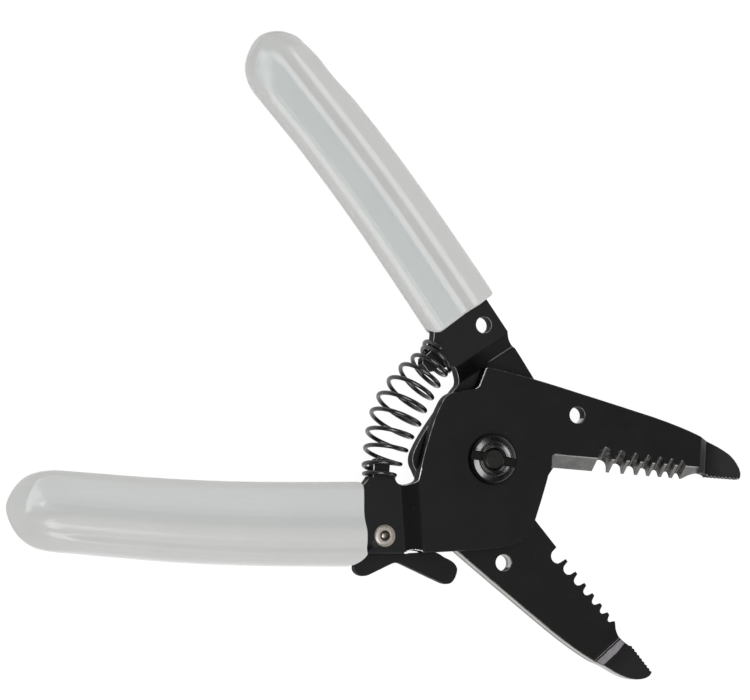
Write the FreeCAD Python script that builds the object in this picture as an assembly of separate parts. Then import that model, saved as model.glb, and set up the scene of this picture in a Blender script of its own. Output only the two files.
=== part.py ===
import FreeCAD, Part
import os
import math
from FreeCAD import Vector as V

os.makedirs("parts", exist_ok=True)

# ---------------------------------------------------------------------------
# Wire stripping pliers, lying on their back, handles open.
# Frame: +Z up along the pivot axis, z = 0 on the table, origin on the pivot
# axis, +X along the front half's cutting edge towards the nose.
# Both steel halves are one and the same stamping: the rear half is the front
# half turned over about the long axis and swung open about the pivot.
# ---------------------------------------------------------------------------

# driving dimensions (mm, degrees)
plate_t = 3.0            # sheet thickness of both halves
z_slide = 5.8            # height of the plane where the halves slide on each other
slide_gap = 0.06         # play between the two halves
joggle = 1.5             # step from plate to neck, and from plate to nose
open_angle = 45.8        # opening between the two cutting edges at rest
bend_run = 3.2           # length of the neck joggle's slope
bend_tilt = 8.1          # tilt of the neck's bend lines
bend_x, bend_y = -15.75, -6.0   # a point of the plate-side bend line
nose_bend_a, nose_bend_b = 46.5, 48.6   # slope of the nose joggle

hole_d = 3.4             # plain holes in jaw and neck
jaw_hole = (18.45, 10.7)
neck_hole = (-21.7, -17.2)

pivot_d = 6.0            # pivot shank
pivot_play = 0.05        # radial play of the rear half on the shank
stud_d = 4.3             # threaded end of the pivot bolt
nut_d = 10.3
nut_top = 11.2
stud_top = 10.7
head_d = 9.5
head_h = 2.0
rear_washer_d = 9.0

edge_y = -0.4            # cutting edge, measured from the tool axis
bevel_w = 2.65           # width of the ground bevel
tooth_x = (23.24, 27.07, 30.42, 33.48, 36.24, 38.92, 41.40, 43.78)
notch_depth = (2.45, 1.98, 1.72, 1.52, 1.36, 1.23, 1.06)
notch_r = (1.50, 1.20, 0.96, 0.78, 0.65, 0.56, 0.47)
tooth_flat = 0.68
nose_angle = 0.5         # the serrated nose edge lies on a line through the pivot
serrations = 8
serration_depth = 0.24

wire_d = 0.9             # return spring wire
lever_t = 1.4
lever_play = 0.05
rivet_d = 3.38
rivet_head_d = 4.5

grip_tip_lower = -101.0
grip_tip_upper = -97.4

z_neck0 = z_slide - joggle           # neck, tang and nose: underside
z_neck1 = z_neck0 + plate_t
z_plate0 = z_slide + slide_gap / 2   # front plate
z_plate1 = z_slide + plate_t


# ---------------------------------------------------------------------------
# helpers
# ---------------------------------------------------------------------------
def P(p, z=0.0):
    return V(p[0], p[1], z)


def spline(pts):
    c = Part.BSplineCurve()
    c.interpolate([P(p) for p in pts])
    return [c.toShape()]


def lines(pts):
    return [Part.LineSegment(P(a), P(b)).toShape() for a, b in zip(pts[:-1], pts[1:])]


def prism(edges, z0, z1):
    f = Part.Face(Part.Wire(edges))
    f.translate(V(0, 0, z0))
    return f.extrude(V(0, 0, z1 - z0))


def poly_prism(pts, z0, z1):
    return prism(lines(list(pts) + [pts[0]]), z0, z1)


def cyl(d, z0, z1, xy=(0, 0)):
    return Part.makeCylinder(d / 2.0, z1 - z0, V(xy[0], xy[1], z0))


def one_solid(s):
    s = s.removeSplitter()
    return s.Solids[0] if len(s.Solids) == 1 else s


def to_rear(s):
    # turn over about the long axis at the sliding plane, then swing open
    r = s.copy()
    r.rotate(V(0, 0, z_slide), V(1, 0, 0), 180)
    r.rotate(V(0, 0, 0), V(0, 0, 1), -open_angle)
    return r


def save(s, name):
    s = one_solid(s)
    print("%-20s solids %d valid %s volume %.1f box %s" % (
        name, len(s.Solids), s.isValid(), s.Volume,
        ["%.2f" % v for v in (s.BoundBox.XMin, s.BoundBox.XMax, s.BoundBox.YMin,
                              s.BoundBox.YMax, s.BoundBox.ZMin, s.BoundBox.ZMax)]))
    s.exportStep("parts/%s.step" % name)
    return s


# ---------------------------------------------------------------------------
# steel half: plan outline, run counter-clockwise from the nose
# ---------------------------------------------------------------------------
def nose_y(x):
    return x * math.tan(math.radians(nose_angle))


nose_x0, nose_x1 = 49.5, 56.4
step = (nose_x1 - nose_x0) / serrations
saw = [(nose_x0, nose_y(nose_x0))]
for i in range(serrations):
    xa = nose_x0 + step * i
    saw.append((xa + step * 0.5, nose_y(xa + step * 0.5) + serration_depth))
    saw.append((xa + step, nose_y(xa + step)))

outline = []
outline += lines(saw)
outline += spline([saw[-1], (56.75, 1.2), (56.7, 1.95), (56.3, 2.95), (55.5, 4.1), (54.4, 5.15),
                   (53.0, 6.05), (51.7, 6.68), (50.5, 7.17), (49.3, 7.6), (48.2, 8.02)])
outline += spline([(48.2, 8.02), (46.3, 8.72), (43.97, 9.52), (41.64, 10.22), (37.02, 11.42),
                   (32.42, 12.43), (23.28, 14.31), (14.19, 16.16), (8.77, 17.2), (4.06, 18.0),
                   (0.04, 18.58), (-1.6, 18.8)])
outline += spline([(-1.6, 18.8), (-2.1, 18.72), (-2.45, 18.3)])
outline += lines([(-2.45, 18.3), (-3.42, 15.35)])
outline += spline([(-3.42, 15.35), (-3.85, 14.6), (-4.7, 14.17)])
outline += lines([(-4.7, 14.17), (-8.6, 13.1)])
outline += spline([(-8.6, 13.1), (-9.9, 12.65), (-10.85, 11.8), (-11.5, 10.7)])
outline += spline([(-11.5, 10.7), (-12.25, 8.9), (-13.2, 5.9), (-14.1, 2.4), (-14.85, -1.0),
                   (-15.3, -3.8), (-15.55, -5.2)])
outline += spline([(-15.55, -5.2), (-16.1, -5.85), (-17.2, -6.3), (-18.4, -6.55), (-19.3, -6.42),
                   (-19.85, -5.95), (-20.05, -5.45)])
# spring post on its shoulder
outline += lines([(-20.05, -5.45), (-21.4, -5.45), (-21.4, -2.4), (-22.2, -1.6), (-24.15, -1.6),
                  (-24.95, -2.4), (-24.95, -5.45), (-25.6, -5.45)])
outline += spline([(-25.6, -5.45), (-26.25, -6.5), (-27.2, -7.55), (-28.5, -8.3)])
# tang inside the grip
outline += spline([(-28.5, -8.3), (-35, -9.0), (-44, -9.75), (-53, -10.3), (-61, -10.65),
                   (-70, -10.9), (-80, -11.0), (-86.5, -11.1)])
outline += spline([(-86.5, -11.1), (-90.3, -12.3), (-92.4, -14.6), (-93.0, -17.3), (-92.4, -20.0),
                   (-90.3, -22.3), (-86.5, -23.5)])
tang_outer = [(-86.5, -23.5), (-80, -23.6), (-70, -23.7), (-61, -23.65), (-52, -23.4),
              (-43, -22.95), (-35, -22.4), (-29, -21.75), (-26.5, -21.2)]
outline += spline(tang_outer)
# neck, with the relief under the bend, then the round lower corner of the plate
outline += lines([(-26.5, -21.2), (-17.4, -20.47)])
outline += spline([(-17.4, -20.47), (-16.5, -19.95), (-15.3, -19.68), (-14.2, -19.75), (-13.4, -20.03)])
outline += spline([(-13.4, -20.03), (-10.0, -19.67), (-6.8, -19.27), (-1.36, -18.58), (2.34, -17.94),
                   (4.9, -17.4)])
outline += spline([(4.9, -17.4), (6.6, -16.85), (8.1, -15.9), (9.3, -14.4), (10.0, -12.8)])
outline += spline([(10.0, -12.8), (10.45, -11.55), (11.02, -9.45), (11.58, -7.35), (12.1, -5.25),
                   (12.6, -3.15), (12.93, -1.5)])
outline += lines([(12.93, -1.5), (13.35, edge_y), (tooth_x[-1], edge_y)])
outline += spline([(tooth_x[-1], edge_y), (44.22, -0.09), (44.78, 0.32), (45.55, 0.68), (46.55, 0.94),
                   (47.6, 1.06), (48.5, 1.0), (49.2, 0.76), saw[0]])

blank = prism(outline, -2.0, 14.0)

# bent sheet on the handle side: neck and tang are half a thickness lower
ca, sa = math.cos(math.radians(bend_tilt)), math.sin(math.radians(bend_tilt))


def sheet(profile, tilt, y0, y1):
    # profile in (s, z), run along Y, then tilted about Z
    w = Part.Wire([Part.LineSegment(V(a[0], y0, a[1]), V(b[0], y0, b[1])).toShape()
                   for a, b in zip(profile, profile[1:] + profile[:1])])
    s = Part.Face(w).extrude(V(0, y1 - y0, 0))
    s.rotate(V(0, 0, 0), V(0, 0, 1), tilt)
    return s


s_plate = bend_x * ca + bend_y * sa
s_neck = s_plate - bend_run
z0, z1 = z_plate0, z_plate1
handle_sheet = sheet([(-130, z_neck0), (s_neck, z_neck0), (s_plate, z0), (60, z0), (60, z1),
                      (s_plate, z1), (s_neck, z_neck1), (-130, z_neck1)], bend_tilt, -80, 80)
round_edges = [e for e in handle_sheet.Edges
               if abs(e.Vertexes[0].Z - e.Vertexes[1].Z) < 1e-6 and e.Length > 150 and
               min(abs(e.Vertexes[0].Point.x * ca + e.Vertexes[0].Point.y * sa - s) for s in (s_plate, s_neck)) < 1e-3
               and abs(-e.Vertexes[0].Point.x * sa + e.Vertexes[0].Point.y * ca
                       + (-e.Vertexes[1].Point.x * sa - -e.Vertexes[1].Point.y * ca)) < 1e-3]
handle_sheet = handle_sheet.makeFillet(1.4, round_edges)
handle_side = Part.makeBox(135, 120, 20, V(-120, -60, -4))          # x below 15
handle_sheet = handle_sheet.common(handle_side)

# bent sheet on the nose side: the nose steps down to meet the other nose edge to edge
nose_sheet = sheet([(15, z0), (nose_bend_a, z0), (nose_bend_b, z_neck0), (70, z_neck0), (70, z_neck1),
                    (nose_bend_b, z_neck1), (nose_bend_a, z1), (15, z1)], 0.0, -60, 60)
nose_edges = [e for e in nose_sheet.Edges if e.Length > 100 and
              min(abs(e.Vertexes[0].X - nose_bend_a), abs(e.Vertexes[0].X - nose_bend_b)) < 1e-6]
nose_sheet = nose_sheet.makeFillet(0.9, nose_edges)

half = blank.common(handle_sheet).fuse(blank.common(nose_sheet)).removeSplitter()

# ground bevel with its seven wire notches, all cut along the bevel's slope
cut_x, cut_r = 13.4, 0.45     # blunt left end of the ground bevel
prof = [(cut_x + cut_r, edge_y)]
for i in range(7):
    xa, xb = tooth_x[i] + tooth_flat / 2, tooth_x[i + 1] - tooth_flat / 2
    xm, r = (xa + xb) / 2, notch_r[i]
    yc = edge_y + notch_depth[i] - r
    # flank from the tooth's corner, tangent to the notch's round bottom
    dx, dy = xm - xa, yc - edge_y
    d = math.hypot(dx, dy)
    a = math.atan2(dy, dx) + math.asin(min(0.999, r / d)) if d > r else math.radians(90)
    tx, ty = xm - r * math.sin(a), yc + r * math.cos(a)
    prof.append(("notch", (xa, edge_y), (tx, ty), (xm, yc + r), (2 * xm - tx, ty), (xb, edge_y)))
cut_edges = []
cur = prof[0]
for n in prof[1:]:
    _, pa, pt, pm, pu, pb = n
    cut_edges += lines([cur, pa])
    if math.hypot(pt[0] - pa[0], pt[1] - pa[1]) > 1e-3:
        cut_edges += lines([pa, pt])
    cut_edges.append(Part.Arc(P(pt), P(pm), P(pu)).toShape())
    if math.hypot(pb[0] - pu[0], pb[1] - pu[1]) > 1e-3:
        cut_edges += lines([pu, pb])
    cur = pb
cut_edges += lines([cur, (46.6, edge_y), (46.6, -9.0), (cut_x, -9.0), (cut_x, edge_y - cut_r)])
cut_edges.append(Part.Arc(P((cut_x, edge_y - cut_r)), P((cut_x + 0.293 * cut_r, edge_y - 0.293 * cut_r)), P(prof[0])).toShape())
lead = 0.5
cut_face = Part.Face(Part.Wire(cut_edges))
slope = V(0, bevel_w, plate_t)
cut_face.translate(V(0, 0, z_slide) - slope * lead)
bevel_cut = cut_face.extrude(slope * (1.0 + 2 * lead))
# the bevel is ground on the upper side only: its lower boundary stays on the jaw
half = half.cut(bevel_cut)

# outer flange of the tang, bent towards the back, that stiffens the handle
fl = [(p[0], p[1] + 0.3) for p in tang_outer[:-2]]
flange_edges = spline(fl) + lines([fl[-1], (fl[-1][0], fl[-1][1] + 2.4)])
flange_edges += spline([(p[0], p[1] + 2.4) for p in reversed(fl)])
flange_edges += lines([(fl[0][0], fl[0][1] + 2.4), fl[0]])
half = half.fuse(prism(flange_edges, z_slide - 4.3, z_neck0 + 1.0))

half = half.cut(cyl(hole_d, -5, 20, jaw_hole)).cut(cyl(hole_d, -5, 20, neck_hole))
half = one_solid(half)

front_half = half.cut(cyl(pivot_d, -5, 20))
rear_half = to_rear(half.cut(cyl(pivot_d + 2 * pivot_play, -5, 20)))


# ---------------------------------------------------------------------------
# grips: soft sleeves with a bead along one side and a rim along the other
# ---------------------------------------------------------------------------
section = [(0.0, 0.0), (0.5, 1.5), (1.6, 2.3), (4.0, 2.8), (7.0, 3.7), (9.3, 5.0), (11.6, 5.8),
           (14.0, 4.7), (16.2, 1.6), (17.0, -1.2), (16.8, -3.4), (15.8, -5.1), (14.2, -5.8),
           (12.5, -5.2), (11.3, -3.7), (10.0, -2.8), (8.0, -2.45), (4.0, -2.4), (1.9, -2.5), (0.6, -1.7)]
inner = [(-24, -6.3), (-26, -6.45), (-29.3, -6.71), (-35.7, -7.24), (-44.2, -7.92), (-52.7, -8.51), (-61.1, -8.92),
         (-69.5, -9.16), (-75.7, -9.25), (-81.9, -9.3), (-87.0, -9.33), (-92.2, -9.5), (-95.2, -10.2),
         (-97.2, -11.2), (-98.5, -12.4), (-99.6, -13.9), (-100.4, -15.5), (-101.0, -17.0)]
outer = [(-24, -23.3), (-26, -23.5), (-29.2, -23.81), (-34.6, -24.18), (-43.1, -24.74), (-51.55, -25.17),
         (-60.0, -25.47), (-68.3, -25.56), (-74.6, -25.52), (-80.8, -25.48), (-85.9, -25.39),
         (-91.0, -25.3), (-94.2, -24.8), (-96.3, -23.9), (-97.8, -22.8), (-99.1, -21.4), (-100.2, -19.6),
         (-101.0, -18.0)]


def at(table, x):
    for (xa, ya), (xb, yb) in zip(table[:-1], table[1:]):
        if xb <= x <= xa:
            return ya + (yb - ya) * (xa - x) / (xa - xb)
    return table[-1][1]


def grip(tip, mouth_inner, mouth_outer, corner_pts):
    wires = []
    for x in (-24.0, -26.0, -30, -36, -43, -50, -57, -64, -71, -78, -84, -88, -91.5, -94.5, -97, -98.8, -100.1, -100.9):
        yi, yo = at(inner, x), at(outer, x)
        k = (yi - yo) / 17.0
        d = max(0.0, (-86.0 - x) / 15.0)
        h = math.sqrt(max(0.0, 1.0 - d * d)) * 0.78 + 0.22
        xs = x if x > -84 else -84 + (x + 84) * ((tip + 84) / (grip_tip_lower + 84))
        pts = [V(xs, yi - v * k, z_slide + w * h) for v, w in section]
        c = Part.BSplineCurve()
        c.interpolate(Points=pts, PeriodicFlag=True)
        wires.append(Part.Wire([c.toShape()]))
    g = Part.makeLoft(wires, True, False)
    # mouth, a little slanted, with its outer corner rounded off
    mouth = lines([(0, 0), (mouth_inner, 0), (mouth_inner, -6.0), (mouth_outer, corner_pts[0][1])])
    mouth.append(Part.Arc(P((mouth_outer, corner_pts[0][1])), P(corner_pts[1]), P(corner_pts[2])).toShape())
    mouth += lines([corner_pts[2], (corner_pts[2][0], -40), (0, -40), (0, 0)])
    return g.cut(prism(mouth, -4, 16))


lower_grip = grip(grip_tip_lower, -27.2, -26.7, [(-26.7, -21.4), (-27.6, -23.1), (-29.6, -24.6)]).cut(half)
upper_grip = to_rear(grip(grip_tip_upper, -26.8, -25.6, [(-25.6, -21.9), (-26.1, -23.1), (-27.4, -24.4)]).cut(half))


# ---------------------------------------------------------------------------
# pivot: bolt from behind, spring washer under its head, slotted round nut in front
# ---------------------------------------------------------------------------
bolt = cyl(head_d, 0, head_h)
rim = [e for e in bolt.Edges if abs(e.BoundBox.ZMax) < 1e-6]
bolt = bolt.makeFillet(0.6, rim)
bolt = bolt.fuse(cyl(pivot_d, head_h, z_plate1)).fuse(cyl(stud_d, z_plate1, stud_top))
tip_edge = [e for e in bolt.Edges if abs(e.BoundBox.ZMin - stud_top) < 1e-6 and abs(e.BoundBox.ZMax - stud_top) < 1e-6]
bolt = bolt.makeChamfer(0.35, tip_edge)

rear_washer_t = 0.7
rear_washer = cyl(rear_washer_d, head_h, head_h + rear_washer_t).cut(cyl(pivot_d, 0, 10))

# turned profile of the nut (radius, z): skirt, shoulder, domed face, countersunk mouth
zt = nut_top
nut_prof = [(stud_d / 2, z_plate1), (nut_d / 2, z_plate1), (nut_d / 2, zt - 1.15), (nut_d / 2 - 0.35, zt - 0.7),
            (nut_d / 2 - 0.95, zt - 0.3), (nut_d / 2 - 1.35, zt - 0.12), (nut_d / 2 - 1.42, zt - 0.02),
            (stud_d / 2 + 0.75, zt), (stud_d / 2 + 0.28, zt - 0.3), (stud_d / 2, zt - 0.75)]
w = Part.Wire([Part.LineSegment(V(a[0], 0, a[1]), V(b[0], 0, b[1])).toShape()
               for a, b in zip(nut_prof, nut_prof[1:] + nut_prof[:1])])
nut = Part.Face(w).revolve(V(0, 0, 0), V(0, 0, 1), 360)
slot = Part.makeBox(20, 1.9, 3, V(-10, -0.95, nut_top - 0.95))
slot.rotate(V(0, 0, 0), V(0, 0, 1), -6.5)
nut = nut.cut(slot.cut(cyl(stud_d, 0, 20)))


# ---------------------------------------------------------------------------
# return spring: barrel-shaped wire coil that bows from post to post.
# Each half turn is a half circle standing on the sliding plane, so the turns
# run into each other without a kink.
# ---------------------------------------------------------------------------
left = [(-26.20, -4.80), (-26.38, -2.82), (-26.22, 0.75), (-25.91, 4.27), (-25.19, 8.30), (-23.86, 11.72),
        (-21.77, 15.09), (-19.34, 18.01), (-16.88, 20.11), (-14.95, 22.00), (-14.65, 23.12)]
right = [(-19.85, -4.72), (-18.81, -2.33), (-17.78, 0.53), (-16.69, 3.30), (-15.34, 5.99), (-14.28, 8.86),
         (-12.89, 11.61), (-11.60, 14.23), (-10.19, 16.60), (-9.55, 17.42), (-8.70, 18.60)]
start = (-19.85, -5.0)
end_turn = 72            # the wire is cut off this far into its last half turn
nodes = [start]
for i, l in enumerate(left):
    nodes += [l, right[i]]
pieces = []
for i, (a, b) in enumerate(zip(nodes[:-1], nodes[1:])):
    front = i % 2 == 1                       # left to right runs over the top
    m = V((a[0] + b[0]) / 2, (a[1] + b[1]) / 2, z_slide)
    axis = V(-(b[1] - a[1]), b[0] - a[0], 0)
    ring = Part.Face(Part.Wire([Part.makeCircle(wire_d / 2, P(a, z_slide), V(0, 0, 1))]))
    mid_up = ring.copy()
    mid_up.rotate(m, axis, 90)
    full = end_turn if i == len(nodes) - 2 else 180
    turn = full if (mid_up.CenterOfMass.z > z_slide) == front else -full
    pieces.append(ring.revolve(m, axis, turn))
spring = pieces[0]
for p in pieces[1:]:
    spring = spring.fuse(p)


# ---------------------------------------------------------------------------
# locking lever behind the front half's neck, on a tubular rivet
# ---------------------------------------------------------------------------
lever_z1 = z_neck0 - lever_play
lever_z0 = lever_z1 - lever_t
lever_edges = spline([(-26.45, -22.8), (-26.8, -23.6), (-26.55, -24.7), (-25.5, -25.4), (-24.2, -25.48),
                      (-22.9, -24.95), (-20.8, -23.8), (-19.1, -22.86), (-18.1, -22.4), (-17.4, -22.3),
                      (-16.6, -22.47)])
lever_edges += spline([(-16.6, -22.47), (-14.35, -23.28), (-12.1, -24.1), (-9.87, -24.92)])
lever_edges += spline([(-9.87, -24.92), (-7.6, -25.7), (-6.5, -25.85), (-5.45, -25.55), (-4.8, -24.8),
                       (-4.3, -23.4), (-4.25, -22.65), (-4.6, -21.9), (-5.3, -21.25), (-6.2, -20.8), (-8, -20.1)])
lever_edges += spline([(-8, -20.1), (-9.3, -19.82), (-10.9, -19.82), (-12.8, -20.15), (-14.7, -20.4), (-15.9, -20.3),
                       (-17.2, -19.2), (-17.75, -17.6)])
lever_edges += spline([(-17.75, -17.6), (-18.2, -15.5), (-19.6, -13.9), (-21.7, -13.3), (-23.8, -13.9),
                       (-25.2, -15.5), (-25.65, -17.6), (-25.5, -20.4), (-25.9, -21.8), (-26.45, -22.8)])
lever = prism(lever_edges, lever_z0, lever_z1).cut(cyl(rivet_d + 0.12, 0, 20, neck_hole))

lock_washer_t = 0.5
lw1 = lever_z0 - lever_play
lw0 = lw1 - lock_washer_t
lock_washer = cyl(6.0, lw0, lw1, neck_hole).cut(cyl(rivet_d, 0, 20, neck_hole))
rivet = cyl(rivet_d, lw0, z_neck1, neck_hole)
head = cyl(rivet_head_d, z_neck1, z_neck1 + 0.6, neck_hole)
head = head.makeFillet(0.4, [e for e in head.Edges if abs(e.BoundBox.ZMin - z_neck1 - 0.6) < 1e-6])
back = cyl(rivet_head_d, lw0 - 0.6, lw0, neck_hole)
back = back.makeFillet(0.4, [e for e in back.Edges if abs(e.BoundBox.ZMax - lw0 + 0.6) < 1e-6])
rivet = rivet.fuse(head).fuse(back).cut(cyl(1.9, lw0 - 2, z_neck1 + 2, neck_hole))


# ---------------------------------------------------------------------------
save(front_half, "front_half")
save(rear_half, "rear_half")
save(lower_grip, "lower_grip")
save(upper_grip, "upper_grip")
save(bolt, "pivot_bolt")
save(rear_washer, "pivot_rear_washer")
save(nut, "pivot_nut")
save(spring, "return_spring")
save(lever, "lock_lever")
save(rivet, "lock_rivet")
save(lock_washer, "lock_spring_washer")
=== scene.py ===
import bpy
import bmesh
import math
import numpy as np
from mathutils import Matrix, Vector


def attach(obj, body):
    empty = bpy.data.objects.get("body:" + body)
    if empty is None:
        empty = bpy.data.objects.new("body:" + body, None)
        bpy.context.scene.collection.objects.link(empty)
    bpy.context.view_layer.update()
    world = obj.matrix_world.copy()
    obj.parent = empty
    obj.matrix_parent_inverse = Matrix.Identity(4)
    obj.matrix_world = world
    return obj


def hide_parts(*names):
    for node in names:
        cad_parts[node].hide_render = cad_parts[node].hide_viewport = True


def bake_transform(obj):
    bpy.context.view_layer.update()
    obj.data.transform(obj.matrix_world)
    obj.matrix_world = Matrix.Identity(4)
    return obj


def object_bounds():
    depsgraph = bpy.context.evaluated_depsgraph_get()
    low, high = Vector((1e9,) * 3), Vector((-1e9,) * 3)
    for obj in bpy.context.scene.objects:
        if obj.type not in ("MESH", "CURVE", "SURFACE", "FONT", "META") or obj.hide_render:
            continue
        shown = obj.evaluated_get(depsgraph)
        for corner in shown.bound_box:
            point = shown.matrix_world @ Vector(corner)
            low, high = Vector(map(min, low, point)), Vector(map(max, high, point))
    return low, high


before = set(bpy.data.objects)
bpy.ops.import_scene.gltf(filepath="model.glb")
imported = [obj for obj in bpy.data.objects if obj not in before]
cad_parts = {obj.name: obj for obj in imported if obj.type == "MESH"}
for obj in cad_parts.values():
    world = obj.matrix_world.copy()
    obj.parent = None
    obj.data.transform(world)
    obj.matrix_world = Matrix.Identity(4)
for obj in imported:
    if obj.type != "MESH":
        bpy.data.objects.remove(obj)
cad_lo, cad_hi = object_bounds()

MM = 0.001
ZI = 5.8                          # height of the plane where the halves slide on each other
OPEN = math.radians(45.8)         # opening between the two cutting edges at rest
SLOPE = Vector((0.0, 2.65, 3.0)).normalized()   # direction the bevel and its notches are ground along

collection = bpy.context.scene.collection


# ---------------------------------------------------------------------------
# camera, light, floor
# ---------------------------------------------------------------------------
cam_data = bpy.data.cameras.new("camera")
cam_data.sensor_fit = "HORIZONTAL"
cam_data.sensor_width = 36.0
cam_data.lens = 201.6
cam_data.clip_start = 0.01
cam = bpy.data.objects.new("camera", cam_data)
collection.objects.link(cam)
R = Vector((0.935907, 0.060932, 0.346936))
U = Vector((-0.090148, 0.993556, 0.068689))
B = Vector((-0.340515, -0.095562, 0.935370))
m = Matrix((R, U, B)).transposed().to_4x4()
m.translation = Vector((-316.400, -61.207, 804.487)) * MM
cam.matrix_world = m
bpy.context.scene.camera = cam
bpy.context.scene.view_settings.view_transform = "Standard"
bpy.context.scene.view_settings.look = "None"

world = bpy.data.worlds.new("studio")
bpy.context.scene.world = world
world.use_nodes = True
wt = world.node_tree
wt.nodes.clear()
w_out = wt.nodes.new("ShaderNodeOutputWorld")
w_bg = wt.nodes.new("ShaderNodeBackground")
w_tc = wt.nodes.new("ShaderNodeTexCoord")
w_sep = wt.nodes.new("ShaderNodeSeparateXYZ")
w_ramp = wt.nodes.new("ShaderNodeValToRGB")
w_mul = wt.nodes.new("ShaderNodeMix")
w_mul.data_type = "RGBA"
w_mul.blend_type = "MULTIPLY"
w_mul.inputs[0].default_value = 1.0
stops = [(0.0, 0.92), (0.46, 0.88), (0.53, 0.34), (0.58, 0.14), (1.0, 0.11)]
while len(w_ramp.color_ramp.elements) < len(stops):
    w_ramp.color_ramp.elements.new(0.5)
for e, (z, v) in zip(w_ramp.color_ramp.elements, stops):
    e.position = z
    e.color = (v, v, v * 1.01, 1)


def world_step(axis, a, b, lo, hi):
    n = wt.nodes.new("ShaderNodeMapRange")
    n.interpolation_type = "SMOOTHSTEP"
    for name, v in (("From Min", a), ("From Max", b), ("To Min", lo), ("To Max", hi)):
        n.inputs[name].default_value = v
    wt.links.new(w_sep.outputs[axis], n.inputs["Value"])
    return n.outputs[0]


# the low white card stands behind the tool, to the left
w_card = wt.nodes.new("ShaderNodeMath")
w_card.operation = "MULTIPLY"
w_level = wt.nodes.new("ShaderNodeMapRange")
w_level.inputs["To Min"].default_value = 0.18
w_level.inputs["To Max"].default_value = 1.05
wt.links.new(w_tc.outputs["Generated"], w_sep.inputs[0])
wt.links.new(world_step("Y", 0.55, 0.75, 0.0, 1.0), w_card.inputs[0])
wt.links.new(world_step("X", -0.22, -0.05, 1.0, 0.0), w_card.inputs[1])
wt.links.new(w_card.outputs[0], w_level.inputs["Value"])
wt.links.new(w_sep.outputs["Z"], w_ramp.inputs[0])
wt.links.new(w_ramp.outputs[0], w_mul.inputs[6])
wt.links.new(w_level.outputs[0], w_mul.inputs[7])
w_low = wt.nodes.new("ShaderNodeMix")
w_low.data_type = "RGBA"
w_low.blend_type = "LIGHTEN"
w_low.inputs[0].default_value = 1.0
wt.links.new(w_mul.outputs[2], w_low.inputs[6])
w_right = wt.nodes.new("ShaderNodeMath")
w_right.operation = "MULTIPLY"
wt.links.new(world_step("Z", 0.34, 0.58, 1.2, 0.0), w_right.inputs[0])
wt.links.new(world_step("X", 0.35, 0.65, 0.0, 1.0), w_right.inputs[1])
wt.links.new(w_right.outputs[0], w_low.inputs[7])
wt.links.new(w_low.outputs[2], w_bg.inputs["Color"])
w_bg.inputs["Strength"].default_value = 1.0
wt.links.new(w_bg.outputs[0], w_out.inputs[0])


def area(name, place, target, size, power, tint=(1, 1, 1)):
    d = bpy.data.lights.new(name, "AREA")
    d.shape = "RECTANGLE"
    d.size, d.size_y = size
    d.energy = power
    d.color = tint
    o = bpy.data.objects.new(name, d)
    o.location = Vector(place)
    o.rotation_euler = (Vector(target) - Vector(place)).to_track_quat("-Z", "Y").to_euler()
    collection.objects.link(o)
    return o


centre = Vector((-0.02, 0.01, 0.0))
area("near_softbox", (-0.20, -0.28, 1.19), centre, (0.72, 1.12), 12.4)
area("far_softbox", (-0.18, 0.52, 1.16), centre, (0.30, 0.34), 2.1)

floor_mesh = bpy.data.meshes.new("floor")
s = 12.0
floor_mesh.from_pydata([(-s, -s, -0.0002), (s, -s, -0.0002), (s, s, -0.0002), (-s, s, -0.0002)], [], [(0, 1, 2, 3)])
floor = bpy.data.objects.new("floor", floor_mesh)
collection.objects.link(floor)


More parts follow.
